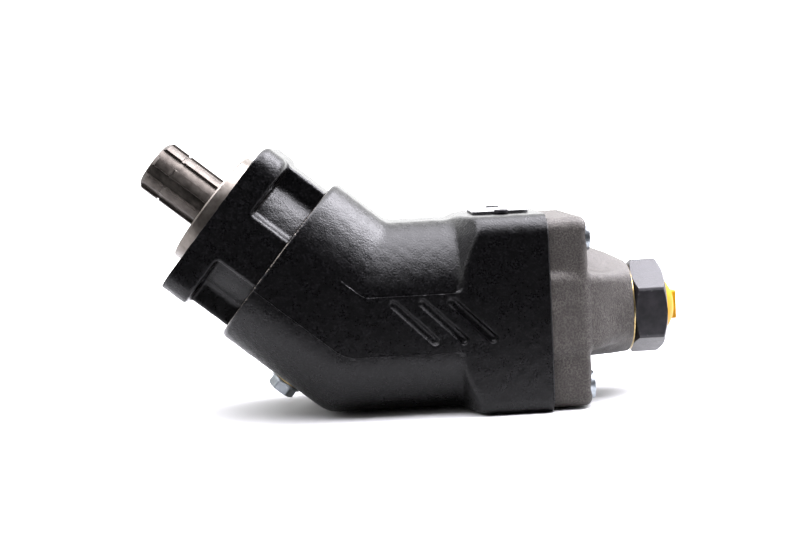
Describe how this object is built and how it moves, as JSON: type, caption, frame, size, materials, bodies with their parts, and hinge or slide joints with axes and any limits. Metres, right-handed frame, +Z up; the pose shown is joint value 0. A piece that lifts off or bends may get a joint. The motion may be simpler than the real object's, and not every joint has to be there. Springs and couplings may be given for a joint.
{
  "type": "hydraulic motor",
  "caption": "Bent-axis piston motor: splined output shaft through a square mounting flange, angled cast housing, rear port cap with hex adapter.",
  "frame": {"origin": "centre of the bounding box in X and Y, on the floor the housing rests on", "axes": "+X along the cylinder barrel's axis towards the port cap, +Z up, +Y away from the side that shows the three slanted grooves; the shaft leaves towards -X and +Z at 40 degrees to X"},
  "size_m": [0.3494, 0.123, 0.1799],
  "materials": {
    "black_casting": "semi-gloss black paint over sand-cast iron",
    "bare_iron": "bare brown-grey sand-cast iron",
    "machined_steel": "machined, slightly browned",
    "bearing_steel": "ground",
    "dark_steel": "dark phosphate",
    "zinc_steel": "bluish zinc plate",
    "bright_steel": "bright sheet",
    "gold_zinc": "yellow zinc plate",
    "bronze": "machined",
    "rubber": "black, matt",
    "yellow_plastic": "satin moulded plastic"
  },
  "bodies": {
    "housing": {"bearing_housing": "black_casting", "barrel_housing": "black_casting", "rear_bearing_cup": "bearing_steel", "front_bearing_cup": "bearing_steel", "shaft_seal": "rubber", "seal_circlip": "dark_steel", "housing_o_ring": "rubber", "housing_screw_1": "dark_steel", "housing_screw_2": "dark_steel", "housing_screw_3": "dark_steel", "housing_screw_4": "dark_steel", "valve_plate": "bronze", "valve_plate_pin": "bearing_steel", "port_cap": "bare_iron", "cap_gasket": "rubber", "cap_screw_1": "zinc_steel", "cap_screw_2": "zinc_steel", "cap_screw_3": "zinc_steel", "cap_screw_4": "zinc_steel", "bonded_seal": "gold_zinc", "hose_adapter": "dark_steel", "drain_plug_washer": "gold_zinc", "drain_plug": "zinc_steel", "cover_gasket": "rubber", "cover_plate": "bright_steel", "cover_screw_1": "dark_steel", "cover_screw_2": "dark_steel"},
    "shaft": {"drive_shaft": "machined_steel", "rear_bearing_cone": "bearing_steel", "front_bearing_cone": "bearing_steel", "bearing_spacer": "machined_steel", "shaft_lock_nut": "dark_steel"},
    "rear_rollers": {"rear_bearing_rollers": "bearing_steel"},
    "front_rollers": {"front_bearing_rollers": "bearing_steel"},
    "barrel": {"cylinder_barrel": "bronze", "centre_pin": "machined_steel", "barrel_spring": "dark_steel"},
    "shipping_plug": {"shipping_plug": "yellow_plastic"},
    "piston_1": {"piston_1": "machined_steel", "piston_ring_1": "dark_steel"},
    "piston_2": {"piston_2": "machined_steel", "piston_ring_2": "dark_steel"},
    "piston_3": {"piston_3": "machined_steel", "piston_ring_3": "dark_steel"},
    "piston_4": {"piston_4": "machined_steel", "piston_ring_4": "dark_steel"},
    "piston_5": {"piston_5": "machined_steel", "piston_ring_5": "dark_steel"},
    "piston_6": {"piston_6": "machined_steel", "piston_ring_6": "dark_steel"},
    "piston_7": {"piston_7": "machined_steel", "piston_ring_7": "dark_steel"}
  },
  "joints": [
    {"name": "shaft_spin", "type": "hinge", "parent": "housing", "child": "shaft", "pos_m": [-0.0378, 0, 0.061], "axis": [-0.766, 0, 0.6428], "continuous": true},
    {"name": "barrel_spin", "type": "hinge", "parent": "housing", "child": "barrel", "pos_m": [-0.0378, 0, 0.061], "axis": [-1, 0, 0], "continuous": true},
    {"name": "rear_rollers_spin", "type": "hinge", "parent": "housing", "child": "rear_rollers", "pos_m": [-0.07074, 0, 0.08864], "axis": [-0.766, 0, 0.6428], "continuous": true},
    {"name": "front_rollers_spin", "type": "hinge", "parent": "housing", "child": "front_rollers", "pos_m": [-0.0987, 0, 0.1121], "axis": [-0.766, 0, 0.6428], "continuous": true},
    {"name": "piston_1_slide", "type": "slide", "parent": "barrel", "child": "piston_1", "axis": [-1, 0, 0], "range_m": [0, 0.0321]},
    {"name": "piston_2_slide", "type": "slide", "parent": "barrel", "child": "piston_2", "axis": [-1, 0, 0], "range_m": [0, 0.0321]},
    {"name": "piston_3_slide", "type": "slide", "parent": "barrel", "child": "piston_3", "axis": [-1, 0, 0], "range_m": [0, 0.0321]},
    {"name": "piston_4_slide", "type": "slide", "parent": "barrel", "child": "piston_4", "axis": [-1, 0, 0], "range_m": [0, 0.0321]},
    {"name": "piston_5_slide", "type": "slide", "parent": "barrel", "child": "piston_5", "axis": [-1, 0, 0], "range_m": [0, 0.0321]},
    {"name": "piston_6_slide", "type": "slide", "parent": "barrel", "child": "piston_6", "axis": [-1, 0, 0], "range_m": [0, 0.0321]},
    {"name": "piston_7_slide", "type": "slide", "parent": "barrel", "child": "piston_7", "axis": [-1, 0, 0], "range_m": [0, 0.0321]},
    {"name": "plug_pull", "type": "slide", "parent": "housing", "child": "shipping_plug", "axis": [1, 0, 0], "range_m": [0, 0.04]}
  ],
  "couplings": [
    {"joint": "barrel_spin", "follows": "shaft_spin", "ratio": 1},
    {"joint": "rear_rollers_spin", "follows": "shaft_spin", "ratio": 0.437},
    {"joint": "front_rollers_spin", "follows": "shaft_spin", "ratio": 0.44}
  ]
}
